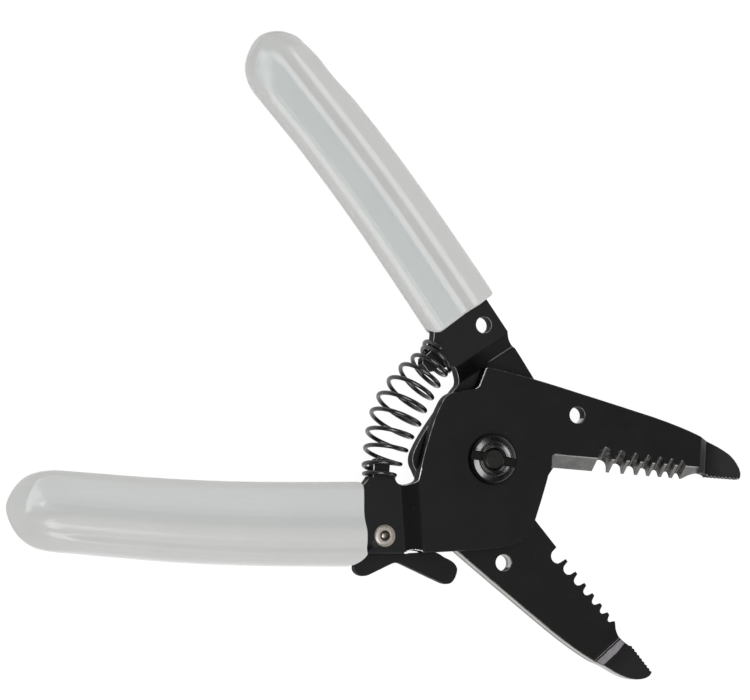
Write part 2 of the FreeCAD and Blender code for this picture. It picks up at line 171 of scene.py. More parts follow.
# ---------------------------------------------------------------------------
# materials
# ---------------------------------------------------------------------------
class Mat:
    """A principled material with coordinates in millimetres of the part's frame."""

    def __init__(self, name, rot=(0, 0, 0)):
        self.m = bpy.data.materials.new(name)
        self.m.use_nodes = True
        self.t = self.m.node_tree
        self.t.nodes.clear()
        self.b = self.t.nodes.new("ShaderNodeBsdfPrincipled")
        out = self.t.nodes.new("ShaderNodeOutputMaterial")
        self.t.links.new(self.b.outputs[0], out.inputs[0])
        tc = self.t.nodes.new("ShaderNodeTexCoord")
        self.co = self.map(tc.outputs["Object"], (1000, 1000, 1000), rot)

    def set(self, **values):
        for k, v in values.items():
            self.b.inputs[k.replace("_", " ")].default_value = v

    def to(self, socket, name):
        self.t.links.new(socket, self.b.inputs[name])

    def map(self, vec, scale, rot=(0, 0, 0), loc=(0, 0, 0)):
        n = self.t.nodes.new("ShaderNodeMapping")
        n.inputs["Scale"].default_value = scale
        n.inputs["Rotation"].default_value = rot
        n.inputs["Location"].default_value = loc
        self.t.links.new(vec, n.inputs["Vector"])
        return n.outputs[0]

    def noise(self, scale, detail=3.0, rough=0.55, vec=None, distortion=0.0):
        n = self.t.nodes.new("ShaderNodeTexNoise")
        n.inputs["Scale"].default_value = scale
        n.inputs["Detail"].default_value = detail
        n.inputs["Roughness"].default_value = rough
        n.inputs["Distortion"].default_value = distortion
        self.t.links.new(vec or self.co, n.inputs["Vector"])
        return n.outputs[0]

    def rings(self, scale, distortion=0.0, vec=None):
        n = self.t.nodes.new("ShaderNodeTexWave")
        n.wave_type = "RINGS"
        n.rings_direction = "Z"
        n.inputs["Scale"].default_value = scale
        n.inputs["Distortion"].default_value = distortion
        n.inputs["Detail"].default_value = 2.0
        self.t.links.new(vec or self.co, n.inputs["Vector"])
        return n.outputs["Fac"]

    def span(self, socket, a, b, lo, hi):
        n = self.t.nodes.new("ShaderNodeMapRange")
        n.inputs["From Min"].default_value = a
        n.inputs["From Max"].default_value = b
        n.inputs["To Min"].default_value = lo
        n.inputs["To Max"].default_value = hi
        self.t.links.new(socket, n.inputs["Value"])
        return n.outputs[0]

    def mix(self, fac, a, b):
        n = self.t.nodes.new("ShaderNodeMix")
        n.data_type = "RGBA"
        self.t.links.new(fac, n.inputs[0])
        for i, c in ((6, a), (7, b)):
            if isinstance(c, tuple):
                n.inputs[i].default_value = (*c, 1.0)
            else:
                self.t.links.new(c, n.inputs[i])
        return n.outputs[2]

    def math(self, op, a, b):
        n = self.t.nodes.new("ShaderNodeMath")
        n.operation = op
        for i, x in enumerate((a, b)):
            if isinstance(x, (int, float)):
                n.inputs[i].default_value = x
            else:
                self.t.links.new(x, n.inputs[i])
        return n.outputs[0]

    def bump(self, height, strength, distance_mm, normal=None):
        n = self.t.nodes.new("ShaderNodeBump")
        n.inputs["Strength"].default_value = strength
        n.inputs["Distance"].default_value = distance_mm * MM
        self.t.links.new(height, n.inputs["Height"])
        if normal is not None:
            self.t.links.new(normal, n.inputs["Normal"])
        return n.outputs[0]


def oxide(name, dark, light, spec, rough):
    # black oxide on rolled sheet: faint cloudiness, a fine satin grain, a few rubbed specks
    a = Mat(name)
    cloud = a.noise(0.16, 4, 0.6)
    grain = a.noise(9.0, 2, 0.6)
    speck = a.span(a.noise(2.6, 2, 0.5), 0.735, 0.77, 0.0, 1.0)
    base = a.mix(a.span(cloud, 0.3, 0.7, 0, 1), dark, light)
    a.to(a.mix(speck, base, (0.045, 0.043, 0.04)), "Base Color")
    a.to(a.span(a.math("ADD", cloud, a.math("MULTIPLY", grain, 0.5)), 0.4, 1.1, rough - 0.07, rough + 0.07), "Roughness")
    a.to(a.bump(grain, 0.25, 0.02), "Normal")
    a.set(Specular_IOR_Level=spec)
    return a.m


def sheared(name, z_split, up):
    # sheared side of the jaw: a burnished upper part, a thin dark break line, a duller torn part
    a = Mat(name)
    streak = a.noise(1.0, 3, 0.6, a.map(a.co, (4.0, 4.0, 0.3)))
    patch = a.noise(0.45, 3, 0.55)
    sep = a.t.nodes.new("ShaderNodeSeparateXYZ")
    a.t.links.new(a.co, sep.inputs[0])
    h = a.math("ADD", sep.outputs["Z"], a.math("MULTIPLY", a.math("SUBTRACT", patch, 0.5), 0.35))
    d = a.math("MULTIPLY", a.math("SUBTRACT", h, z_split), up)
    burnished = a.mix(a.span(a.math("ADD", streak, a.math("MULTIPLY", patch, 0.4)), 0.5, 0.9, 0, 1), (0.30, 0.30, 0.295), (0.46, 0.46, 0.455))
    torn = a.mix(a.span(streak, 0.3, 0.7, 0, 1), (0.15, 0.15, 0.15), (0.27, 0.27, 0.268))
    base = a.mix(a.span(d, -0.08, 0.02, 0, 1), torn, burnished)
    line = a.span(a.math("ABSOLUTE", a.math("ADD", d, 0.05), 0.0), 0.04, 0.12, 1.0, 0.0)
    a.to(a.mix(line, base, (0.10, 0.10, 0.10)), "Base Color")
    a.to(a.span(a.math("ADD", a.math("MULTIPLY", streak, 0.5), a.span(d, -0.08, 0.02, 0.25, 0)), 0.15, 0.6, 0.26, 0.52), "Roughness")
    a.to(a.bump(streak, 0.30, 0.03), "Normal")
    a.set(Metallic=1.0)
    return a.m


def stepped(name, rot, side):
    # inside of the nose's step: a painted highlight line at the crease, a thin dark line, then a bright band of bare
    # steel, partly a painted highlight, that ends in a curve
    a = Mat(name, rot)
    n = a.noise(0.7, 3, 0.5)
    fine = a.noise(7.0, 2, 0.5)
    sep = a.t.nodes.new("ShaderNodeSeparateXYZ")
    a.t.links.new(a.co, sep.inputs[0])
    u = a.math("ADD", sep.outputs["X"], a.math("MULTIPLY", a.math("SUBTRACT", n, 0.5), 0.12))
    y = a.math("MULTIPLY", sep.outputs["Y"], side)
    band = a.mix(a.span(n, 0.3, 0.7, 0, 1), (0.385, 0.362, 0.388), (0.505, 0.48, 0.51))
    end = a.math("SUBTRACT", u, a.span(y, 0.5, 6.5, 47.95, 48.75))
    band = a.mix(a.span(end, -0.08, 0.10, 0, 1), band, (0.030, 0.022, 0.021))
    # the light line on the plate side of the crease is a painted highlight
    crease = a.mix(a.span(u, 46.78, 46.86, 0, 1), (0.52, 0.52, 0.53), (0.012, 0.012, 0.016))
    a.to(a.mix(a.span(u, 47.04, 47.14, 0, 1), crease, band), "Base Color")
    a.to(a.span(fine, 0.3, 0.7, 0.26, 0.36), "Roughness")
    a.to(a.bump(fine, 0.12, 0.02), "Normal")
    a.set(Metallic=1.0)
    return a.m


def shaded_step(name, rot):
    # outside of the nose's step: oxide that gets lighter towards the nose's side, with a painted highlight line near
    # the nose-side bend
    a = Mat(name, rot)
    n = a.noise(0.9, 3, 0.55)
    fine = a.noise(8.0, 2, 0.5)
    sep = a.t.nodes.new("ShaderNodeSeparateXYZ")
    a.t.links.new(a.co, sep.inputs[0])
    u = a.math("ADD", sep.outputs["X"], a.math("MULTIPLY", a.math("SUBTRACT", n, 0.5), 0.15))
    slope = a.mix(a.span(u, 46.6, 48.0, 0, 1), (0.022, 0.022, 0.024), (0.046, 0.045, 0.047))
    # painted highlight line near the nose-side bend
    line = a.span(a.math("ABSOLUTE", a.math("SUBTRACT", u, 48.25), 0.0), 0.10, 0.22, 1.0, 0.0)
    a.to(a.mix(line, slope, (0.105, 0.102, 0.102)), "Base Color")
    a.to(a.span(fine, 0.3, 0.7, 0.28, 0.40), "Roughness")
    a.to(a.bump(fine, 0.15, 0.02), "Normal")
    a.set(Metallic=1.0)
    return a.m


def shaded_bend(name, rot):
    # inside of the neck's bend: painted shade, deep black on the inner side and lighter towards the outer side, with a
    # painted highlight along the crease
    a = Mat(name, rot)
    n = a.noise(0.35, 3, 0.55)
    grain = a.noise(9.0, 2, 0.6)
    sep = a.t.nodes.new("ShaderNodeSeparateXYZ")
    a.t.links.new(a.co, sep.inputs[0])
    y = a.math("ADD", sep.outputs["Y"], a.math("MULTIPLY", a.math("SUBTRACT", n, 0.5), 3.0))
    outer = a.span(y, 10.5, 15.0, 0, 1)
    base = a.mix(outer, (0.0026, 0.0026, 0.0031), (0.0100, 0.0100, 0.0110))
    u = a.math("SUBTRACT", sep.outputs["X"], a.span(sep.outputs["Y"], 5.2, 20.0, -15.55, -13.44))
    # the bright line along the crease is a painted highlight
    crease = a.math("MULTIPLY", a.span(a.math("ABSOLUTE", a.math("ADD", u, 0.62), 0.0), 0.05, 0.14, 1.0, 0.0), a.span(y, 13.0, 14.5, 0, 1))
    a.to(a.mix(crease, base, (0.16, 0.155, 0.155)), "Base Color")
    a.to(a.span(a.math("ADD", n, a.math("MULTIPLY", grain, 0.5)), 0.4, 1.1, 0.42, 0.56), "Roughness")
    a.to(a.bump(grain, 0.25, 0.02), "Normal")
    a.set(Specular_IOR_Level=0.10)
    return a.m


def nose_oxide(name, rot, dark, light):
    # oxide of the serrated nose, rubbed thinner towards its end
    a = Mat(name, rot)
    cloud = a.noise(0.3, 3, 0.55)
    grain = a.noise(9.0, 2, 0.6)
    sep = a.t.nodes.new("ShaderNodeSeparateXYZ")
    a.t.links.new(a.co, sep.inputs[0])
    u = a.math("ADD", sep.outputs["X"], a.math("MULTIPLY", a.math("SUBTRACT", cloud, 0.5), 2.0))
    a.to(a.mix(a.span(u, 48.6, 52.0, 0, 1), dark, light), "Base Color")
    a.to(a.span(a.math("ADD", cloud, a.math("MULTIPLY", grain, 0.5)), 0.4, 1.1, 0.40, 0.54), "Roughness")
    a.to(a.bump(grain, 0.25, 0.02), "Normal")
    a.set(Specular_IOR_Level=0.16)
    return a.m


def notched(name, rot):
    # walls of the wire notches: milled, stained brown and dark, with bare flecks
    a = Mat(name, rot)
    blotch = a.noise(0.95, 4, 0.62)
    fleck = a.noise(2.7, 3, 0.6)
    fine = a.noise(12.0, 2, 0.6)
    tone = a.math("ADD", a.math("MULTIPLY", blotch, 0.7), a.math("MULTIPLY", fleck, 0.5))
    base = a.mix(a.span(tone, 0.48, 0.74, 0, 1), (0.034, 0.032, 0.031), (0.200, 0.194, 0.188))
    a.to(a.mix(a.span(fleck, 0.66, 0.72, 0, 1), base, (0.52, 0.51, 0.50)), "Base Color")
    a.to(a.span(blotch, 0.3, 0.7, 0.28, 0.46), "Roughness")
    a.to(a.bump(a.math("ADD", fleck, a.math("MULTIPLY", fine, 0.4)), 0.45, 0.04), "Normal")
    a.set(Metallic=1.0)
    return a.m


def wear_and_sheen(name, dark, light, lo, hi, metal):
    # rim of the sheet where the oxide is rubbed thin; the same mix also paints highlights on rims and at a corner, and
    # the darker wall of the rivet's hollow
    a = Mat(name)
    n = a.noise(1.1, 4, 0.65)
    f = a.noise(0.21, 2, 0.5)
    k = a.span(a.math("ADD", n, a.math("MULTIPLY", f, 0.6)), lo, hi, 0, 1)
    a.to(a.mix(k, dark, light), "Base Color")
    a.to(a.span(n, 0.3, 0.7, 0.30, 0.44), "Roughness")
    a.set(Metallic=metal, Specular_IOR_Level=0.35)
    return a.m


def ground(name, rot):
    # bare ground steel: grinding lines across the edge, slight staining
    a = Mat(name, rot)
    line = a.noise(1.0, 4, 0.7, a.map(a.co, (9.0, 0.7, 0.7)))
    fine = a.noise(14.0, 2, 0.6)
    stain = a.noise(0.55, 4, 0.6)
    tone = a.math("ADD", a.math("MULTIPLY", line, 0.55), a.math("ADD", a.math("MULTIPLY", fine, 0.25), a.math("MULTIPLY", stain, 0.45)))
    base = a.mix(a.span(tone, 0.42, 0.84, 0, 1), (0.140, 0.139, 0.136), (0.350, 0.348, 0.342))
    # a painted highlight: a bright line along the upper border of the bevel
    sep = a.t.nodes.new("ShaderNodeSeparateXYZ")
    a.t.links.new(a.co, sep.inputs[0])
    border_highlight = a.span(a.math("ABSOLUTE", a.math("SUBTRACT", sep.outputs["Z"], ZI), 0.0), 2.72, 2.86, 0.0, 1.0)
    a.to(a.mix(border_highlight, base, (0.56, 0.55, 0.54)), "Base Color")
    a.to(a.span(line, 0.3, 0.7, 0.30, 0.46), "Roughness")
    a.to(a.bump(a.math("ADD", line, a.math("MULTIPLY", fine, 0.4)), 0.45, 0.02), "Normal")
    a.set(Metallic=1.0)
    return a.m


def vinyl(name):
    # soft glossy vinyl: milky, faintly cloudy, cooler where it lies thin over the steel
    a = Mat(name)
    cloud = a.noise(0.085, 3, 0.5)
    fleck = a.noise(0.7, 3, 0.55)
    peel = a.noise(1.5, 2, 0.5)
    thick = a.t.nodes.new("ShaderNodeAttribute")
    thick.attribute_name = "thick"
    tone = a.span(a.math("ADD", a.math("MULTIPLY", cloud, 0.8), a.math("MULTIPLY", fleck, 0.25)), 0.3, 0.75, 0, 1)
    thin = a.mix(tone, (0.578, 0.608, 0.604), (0.605, 0.631, 0.625))
    full = a.mix(tone, (0.610, 0.617, 0.603), (0.638, 0.644, 0.627))
    a.to(a.mix(thick.outputs["Fac"], thin, full), "Base Color")
    a.to(a.span(fleck, 0.3, 0.7, 0.14, 0.19), "Roughness")
    a.to(a.bump(peel, 0.04, 0.05), "Normal")
    a.set(Specular_IOR_Level=0.33, Subsurface_Weight=0.12, Subsurface_Radius=(0.0016, 0.0016, 0.0015), Subsurface_Scale=1.0)
    return a.m


def turned(name, dark, light, rough, pitch, bump=0.12):
    # turned steel with fine concentric tool lines about the pivot axis
    a = Mat(name)
    line = a.rings(pitch, 0.15)
    patch = a.noise(0.35, 2, 0.5)
    tone = a.math("ADD", a.math("MULTIPLY", line, 0.5), a.math("MULTIPLY", patch, 0.35))
    a.to(a.mix(a.span(tone, 0.15, 0.75, 0, 1), dark, light), "Base Color")
    a.to(a.span(patch, 0.3, 0.7, rough - 0.03, rough + 0.03), "Roughness")
    a.to(a.bump(line, bump, 0.01), "Normal")
    a.set(Metallic=1.0)
    return a.m


def wire(name):
    # drawn spring wire, black and glossy, faintly brown where the oil has dried
    a = Mat(name)
    n = a.noise(0.5, 3, 0.55)
    a.to(a.mix(a.span(n, 0.35, 0.7, 0, 1), (0.0075, 0.0075, 0.008), (0.016, 0.0135, 0.012)), "Base Color")
    a.to(a.span(a.noise(3.0, 2, 0.5), 0.3, 0.7, 0.20, 0.27), "Roughness")
    a.set(Specular_IOR_Level=0.75)
    return a.m


def nickel(name):
    # bright nickel, slightly rumpled by the setting tool
    a = Mat(name)
    n = a.noise(0.9, 2, 0.5)
    fine = a.noise(5.0, 2, 0.5)
    a.to(a.mix(a.span(n, 0.3, 0.7, 0, 1), (0.342, 0.308, 0.275), (0.410, 0.373, 0.337)), "Base Color")
    a.to(a.span(fine, 0.3, 0.7, 0.30, 0.40), "Roughness")
    a.to(a.bump(n, 0.06, 0.05), "Normal")
    a.set(Metallic=0.55, Specular_IOR_Level=0.6)
    return a.m


def pale_floor(name):
    a = Mat(name)
    n = a.noise(0.004, 2, 0.5)
    a.to(a.mix(a.span(n, 0.3, 0.7, 0, 1), (0.080, 0.080, 0.080), (0.085, 0.085, 0.085)), "Base Color")
    a.set(Roughness=0.6, Specular_IOR_Level=0.1, Emission_Color=(1, 1, 1, 1), Emission_Strength=0.955)
    return a.m


M_OXIDE = oxide("black_oxide", (0.0050, 0.0050, 0.0054), (0.0074, 0.0074, 0.0078), 0.16, 0.50)
M_NECK = oxide("black_neck", (0.0095, 0.0095, 0.0104), (0.0120, 0.0120, 0.0130), 0.16, 0.48)
M_NECK_F = oxide("black_front_neck", (0.0072, 0.0072, 0.0080), (0.0092, 0.0092, 0.0102), 0.16, 0.48)
# painted shade: a darker copy of the oxide for the tilted faces of the front neck's bend
M_BEND_SHADE = oxide("painted_shade_bend", (0.0024, 0.0024, 0.0028), (0.0040, 0.0040, 0.0045), 0.07, 0.50)
M_BEND_SHADE_R = shaded_bend("black_bend_rear", (0, 0, OPEN))
M_NOSE_F = nose_oxide("black_nose_front", (0, 0, 0), (0.0062, 0.0060, 0.0061), (0.0225, 0.0215, 0.0215))
M_NOSE_R = nose_oxide("black_nose_rear", (0, 0, OPEN), (0.0075, 0.0068, 0.0068), (0.0130, 0.0125, 0.0130))
M_SIDE = oxide("black_side", (0.0042, 0.0042, 0.0046), (0.0085, 0.0083, 0.0086), 0.035, 0.44)
M_LEVER = oxide("black_lever", (0.0042, 0.0042, 0.0050), (0.0066, 0.0066, 0.0076), 0.18, 0.46)
M_SHEAR_F = sheared("sheared_front", 7.65, -1.0)
M_SHEAR_R = sheared("sheared_rear", 3.95, 1.0)
M_RIM = wear_and_sheen("worn_rim", (0.020, 0.018, 0.017), (0.17, 0.135, 0.115), 0.52, 0.95, 0.7)
M_EDGE = wear_and_sheen("thin_rim", (0.0075, 0.0073, 0.0075), (0.030, 0.028, 0.027), 0.66, 1.05, 0.2)
# painted highlight: bright metal on the rims that face left, where light from the left would catch them
M_LIT_RIM = wear_and_sheen("painted_highlight_rim", (0.14, 0.138, 0.14), (0.72, 0.71, 0.71), 0.50, 0.92, 1.0)
# painted highlight: a pale rim colour for the plate's upper corner
M_LIT_CORNER = wear_and_sheen("painted_highlight_corner", (0.30, 0.295, 0.295), (0.62, 0.61, 0.61), 0.40, 0.85, 0.25)
M_STEP_F = stepped("bare_and_lit_step_front", (0, 0, 0), 1.0)
M_STEP_R = stepped("bare_and_lit_step_rear", (0, 0, OPEN), -1.0)
M_STEP_OUT_F = shaded_step("shaded_step_front", (0, 0, 0))
M_STEP_OUT_R = shaded_step("shaded_step_rear", (0, 0, OPEN))
M_NOTCH_F = notched("notch_front", (0, 0, 0))
M_NOTCH_R = notched("notch_rear", (0, 0, OPEN))
M_GROUND_F = ground("ground_front", (0, 0, 0))
M_GROUND_R = ground("ground_rear", (0, 0, OPEN))
M_VINYL = vinyl("pale_vinyl")
M_NUT = turned("turned_nut", (0.085, 0.083, 0.083), (0.135, 0.132, 0.132), 0.24, 5.0)
# painted shade: a darker copy of the nut's steel for its side wall
M_SKIRT_SHADE = turned("turned_skirt_shade", (0.016, 0.016, 0.0165), (0.030, 0.030, 0.031), 0.34, 5.0)
# painted shade: a much darker copy of the nut's steel for the slot's walls and floor
M_SLOT_SHADE = turned("milled_slot_shade", (0.010, 0.010, 0.0105), (0.024, 0.024, 0.025), 0.40, 5.0)
M_STUD = turned("turned_bolt", (0.025, 0.0255, 0.0235), (0.042, 0.043, 0.040), 0.36, 4.0)
M_WASHER = turned("turned_washer", (0.12, 0.12, 0.122), (0.22, 0.22, 0.22), 0.32, 4.0)
M_WIRE = wire("black_wire")
M_NICKEL = nickel("bright_nickel")
M_HOLLOW = wear_and_sheen("rivet_hollow", (0.030, 0.026, 0.022), (0.15, 0.128, 0.105), 0.45, 1.0, 1.0)
floor_mesh.materials.append(pale_floor("white_floor"))


# ---------------------------------------------------------------------------
# mesh helpers
# ---------------------------------------------------------------------------
def to_half(p):
    # a point of the rear half, in mm, in the frame of the stamping it was made from
    c, s_ = math.cos(OPEN), math.sin(OPEN)
    x, y = p[0] * c - p[1] * s_, p[0] * s_ + p[1] * c
    return Vector((x, -y, 2 * ZI - p[2]))


def to_rear(p):
    c, s_ = math.cos(OPEN), math.sin(OPEN)
    x, y, z = p[0], -p[1], 2 * ZI - p[2]
    return Vector((x * c + y * s_, -x * s_ + y * c, z))


def turn_half(n):
    # the same for a direction
    c, s_ = math.cos(OPEN), math.sin(OPEN)
    return Vector((n[0] * c - n[1] * s_, -(n[0] * s_ + n[1] * c), -n[2]))


def finish_mesh(bm, name, mats, sharp=32.0, weighted=True):
    bmesh.ops.recalc_face_normals(bm, faces=bm.faces)
    me = bpy.data.meshes.new(name)
    bm.to_mesh(me)
    bm.free()
    for x in mats:
        me.materials.append(x)
    for p in me.polygons:
        p.use_smooth = True
    me.set_sharp_from_angle(angle=math.radians(sharp))
    ob = bpy.data.objects.new(name, me)
    collection.objects.link(ob)
    if weighted:
        mod = ob.modifiers.new("normals", "WEIGHTED_NORMAL")
        mod.keep_sharp = True
        mod.weight = 80
        bpy.context.view_layer.update()
        done = bpy.data.meshes.new_from_object(ob.evaluated_get(bpy.context.evaluated_depsgraph_get()))
        ob.modifiers.clear()
        ob.data = done
        done.name = name
        bpy.data.meshes.remove(me)
        # large flat faces keep their own straight normal
        normals = np.empty(len(done.loops) * 3, np.float32)
        done.corner_normals.foreach_get("vector", normals)
        normals = normals.reshape(-1, 3)
        for p in done.polygons:
            if abs(p.normal.z) > 0.99995:
                normals[p.loop_start:p.loop_start + p.loop_total] = p.normal
        done.normals_split_custom_set(normals.tolist())
    return ob


def place(ob, body, node, slot):
    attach(ob, body)
    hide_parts(node)
    return ob


def welded(node):
    bm = bmesh.new()
    bm.from_mesh(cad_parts[node].data)
    bmesh.ops.remove_doubles(bm, verts=bm.verts, dist=8e-6)
    bmesh.ops.dissolve_degenerate(bm, dist=2e-6, edges=bm.edges)
    bmesh.ops.dissolve_limit(bm, angle_limit=math.radians(0.3), use_dissolve_boundaries=False,
                             verts=bm.verts, edges=bm.edges, delimit={"NORMAL"})
    return bm


def round_rims(bm, width_mm, min_angle, rim_index, keep=None):
    # soften the rims of a sheet: the edges between its faces and its sides
    bm.normal_update()
    rims = []
    for e in bm.edges:
        if len(e.link_faces) != 2:
            continue
        if e.calc_face_angle(0.0) < math.radians(min_angle):
            continue
        d = (e.verts[1].co - e.verts[0].co)
        if d.length > 0 and abs(d.z) / d.length > 0.75:
            continue
        if keep and not keep(e):
            continue
        rims.append(e)
    bmesh.ops.bevel(bm, geom=rims, offset=width_mm * MM, offset_type="OFFSET", segments=2, profile=0.6,
                    affect="EDGES", clamp_overlap=False, material=rim_index, loop_slide=True)
    bmesh.ops.remove_doubles(bm, verts=bm.verts, dist=1e-6)


# ---------------------------------------------------------------------------
# the two steel halves
# ---------------------------------------------------------------------------
OXIDE, SIDE, GROUND, RIM, SHEAR, STEP, EDGE, NECK, NOSE, BEND_SHADE, STEP_OUT, NOTCH, LIT_RIM, LIT_CORNER = range(14)


def split_bridges(bm, away_mm):
    # edges that only divide a flat face get a point near each rim, so that a rounded rim can't tilt the face along them
    bm.normal_update()

    def bridge(e):
        return len(e.link_faces) == 2 and e.calc_face_angle(0.0) < 0.004 and abs(e.link_faces[0].normal.z) > 0.999

    for e in [e for e in bm.edges if bridge(e) and e.calc_length() > 4 * away_mm * MM]:
        for v in list(e.verts):
            if any(len(x.link_faces) == 2 and x.calc_face_angle(0.0) > 0.3 for x in v.link_edges):
                far = e.other_vert(v)
                new_edge, new_vert = bmesh.utils.edge_split(e, v, away_mm * MM / e.calc_length())
                e = next(x for x in new_vert.link_edges if far in x.verts)


def steel_half(node, name, body, rear):
    bm = welded(node)
    # the flange along the tang stays below the sleeve's ridge
    for vert in bm.verts:
        q = to_half(vert.co / MM) if rear else vert.co / MM
        if q.x < -29.5 and q.z < ZI - 3.2:
            q.z = ZI - 3.2
            vert.co = (to_rear(q) if rear else q) * MM
    bm.normal_update()

    def local(f):
        c, n = f.calc_center_median() / MM, f.normal.copy()
        return (to_half(c), turn_half(n)) if rear else (c, n)

    step_lean = max(abs(n.x) for c, n in map(local, bm.faces) if 46.2 < c.x < 49.0 and n.z < -0.5)
    for f in bm.faces:
        c, n = local(f)
        if 13.2 < c.x < 46.7 and -0.6 < c.y < 5.6 and c.z > ZI - 0.1 and abs(n.dot(SLOPE)) < 0.06 and abs(n.z) < 0.97:
            f.material_index = GROUND if abs(n.x) < 0.12 and n.y < 0 else NOTCH
        elif abs(n.z) < 0.35:
            f.material_index = SHEAR if c.x > -1.7 and n.y > 0.3 and c.y > 1.6 else SIDE
        elif 46.2 < c.x < 49.0 and abs(n.x) > step_lean - 0.02:
            f.material_index = STEP if n.z < 0 else STEP_OUT
        # the tilted faces of the neck's bend take the painted-shade bend material
        elif c.x < -8 and 0.35 < abs(n.z) < 0.985:
            f.material_index = BEND_SHADE
        elif abs(n.z) > 0.99 and min(abs(c.z - 7.3), abs(c.z - 4.3)) < 0.06:
            f.material_index = NOSE if c.x > 40 else NECK
        else:
            f.material_index = OXIDE

    def ground_edge(e):
        return any(f.material_index in (GROUND, NOTCH) for f in e.link_faces)

    # the ground cutting edges stay sharp
    split_bridges(bm, 0.5)
    round_rims(bm, 0.16, 30, RIM, lambda e: not ground_edge(e))
    for vert in bm.verts:
        vert.co.x = min(vert.co.x, cad_hi[0] - 2e-6)
    bm.normal_update()
    for f in bm.faces:
        if f.material_index == RIM:
            c, n = local(f)
            if not (c.x > -1.7 and n.y > 0.2 and c.y > 1.6):
                # rims that face left get the painted-highlight rim; the others stay dark
                f.material_index = LIT_RIM if f.normal.x < -0.30 and c.x > -29 else EDGE
                # the rims at the plate's upper corner get a painted highlight
                if -4.3 < c.x < -1.8 and 14.0 < c.y < 18.6 and n.z > 0:
                    f.material_index = LIT_CORNER
    mats = [M_OXIDE, M_SIDE, M_GROUND_R if rear else M_GROUND_F, M_RIM, M_SHEAR_R if rear else M_SHEAR_F, M_STEP_R if rear else M_STEP_F, M_EDGE, M_NECK if rear else M_NECK_F,
            M_NOSE_R if rear else M_NOSE_F, M_BEND_SHADE_R if rear else M_BEND_SHADE, M_STEP_OUT_R if rear else M_STEP_OUT_F, M_NOTCH_R if rear else M_NOTCH_F, M_LIT_RIM, M_LIT_CORNER]
    ob = finish_mesh(bm, name, mats)
    return place(ob, body, node, "blade_steel")


steel_half("front_half", "front_half_steel", "front", False)
steel_half("rear_half", "rear_half_steel", "rear", True)


# ---------------------------------------------------------------------------
# lock lever
# ---------------------------------------------------------------------------
bm = welded("lock_lever")
# its back runs close under the plate's lower border
for vert in bm.verts:
    x, y = vert.co.x / MM, vert.co.y / MM
    if -21.0 < y < -19.5 and -16 < x < -7:
        vert.co.y += 0.32 * MM * min(max((x + 15.6) / 0.9, 0), 1) * min(max((-7.4 - x) / 2.0, 0), 1)
bm.normal_update()
for f in bm.faces:
    f.material_index = 1 if abs(f.normal.z) < 0.5 else 0
round_rims(bm, 0.16, 30, 2)
place(finish_mesh(bm, "lock_lever_steel", [M_LEVER, M_SIDE, M_EDGE]), "lever", "lock_lever", "lever_steel")


# ---------------------------------------------------------------------------
# splines
# ---------------------------------------------------------------------------
def cubic(t, y, tq, periodic=False):
    # interpolating cubic spline through y at the knots t, read at tq
    t, y, tq = np.asarray(t, float), np.asarray(y, float), np.asarray(tq, float)
    if y.ndim == 1:
        return cubic(t, y[:, None], tq, periodic)[:, 0]
    h = np.diff(t)
    n = len(t)
    A = np.zeros((n, n))
    b = np.zeros((n, y.shape[1]))
    d = np.diff(y, axis=0) / h[:, None]
    for i in range(1, n - 1):
        A[i, i - 1], A[i, i], A[i, i + 1] = h[i - 1], 2 * (h[i - 1] + h[i]), h[i]
        b[i] = 6 * (d[i] - d[i - 1])
    if periodic:
        A[0, 0], A[0, 1], A[0, n - 2] = 2 * (h[0] + h[-1]), h[0], h[-1]
        b[0] = 6 * (d[0] - d[-1])
        A[n - 1, 0], A[n - 1, n - 1] = 1, -1
    else:
        A[0, 0], A[n - 1, n - 1] = 1, 1
    m2 = np.linalg.solve(A, b)
    k = np.clip(np.searchsorted(t, tq, side="right") - 1, 0, n - 2)
    u, v = (t[k + 1] - tq)[:, None], (tq - t[k])[:, None]
    hk = h[k][:, None]
    return (m2[k] * u ** 3 + m2[k + 1] * v ** 3) / (6 * hk) + (y[k] / hk - m2[k] * hk / 6) * u + (y[k + 1] / hk - m2[k + 1] * hk / 6) * v


# ---------------------------------------------------------------------------
# grips: sleeves lofted over a beaded section, rounded at the mouth and closed at the tip
# ---------------------------------------------------------------------------
INNER = [(-20, -6.0), (-24, -6.3), (-26, -6.45), (-29.3, -6.71), (-35.7, -7.24), (-44.2, -7.92), (-52.7, -8.51), (-61.1, -8.92),
         (-69.5, -9.16), (-75.7, -9.25), (-81.9, -9.3), (-87.0, -9.33), (-92.2, -9.5), (-95.1, -10.2),
         (-97.0, -11.2), (-98.25, -12.4), (-99.3, -13.9), (-100.1, -15.6)]
OUTER = [(-20, -22.9), (-24, -23.3), (-26, -23.5), (-29.2, -23.81), (-34.6, -24.18), (-43.1, -24.74), (-51.55, -25.17),
         (-60.0, -25.47), (-68.3, -25.56), (-74.6, -25.52), (-80.8, -25.48), (-85.9, -25.39),
         (-91.0, -25.3), (-94.1, -24.8), (-96.1, -23.9), (-97.6, -22.8), (-98.8, -21.4), (-99.9, -19.5)]
TIP = (-100.45, -17.5)
